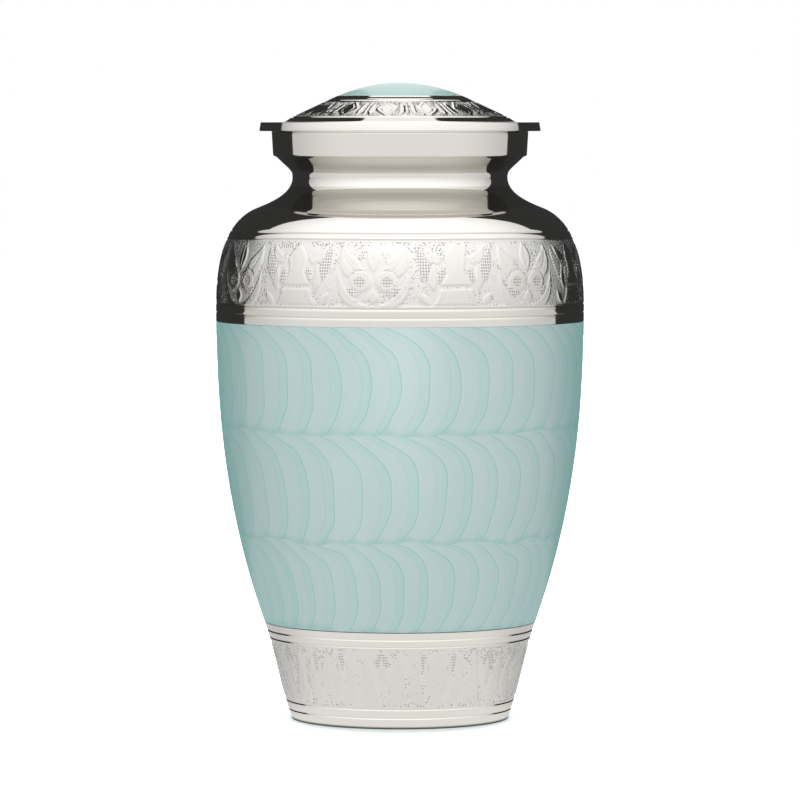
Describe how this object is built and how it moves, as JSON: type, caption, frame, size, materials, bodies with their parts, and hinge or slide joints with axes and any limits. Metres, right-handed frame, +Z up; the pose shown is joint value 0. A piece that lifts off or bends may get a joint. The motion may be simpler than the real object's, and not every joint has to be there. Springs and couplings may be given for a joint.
{
  "type": "funeral urn",
  "caption": "Lidded cremation urn in plated brass with an inlaid pearl enamel band, an enamel cap on the lid and engraved leaf bands round lid, shoulder and foot.",
  "frame": {"origin": "middle of the underside, on the surface that the urn stands on", "axes": "+Z up along the urn's turning axis, front towards -Y"},
  "size_m": [0.1544, 0.1541, 0.267],
  "materials": {
    "nickel_plate": "nickel plated brass, mirror polished, with engraved leaves on a hatched matte ground",
    "pearl_enamel": "glossy aqua mother-of-pearl enamel in overlapping crescent strokes"
  },
  "bodies": {
    "root": {"urn_body": "nickel_plate", "lid": "nickel_plate", "enamel_band": "pearl_enamel", "enamel_cap": "pearl_enamel"}
  },
  "joints": []
}
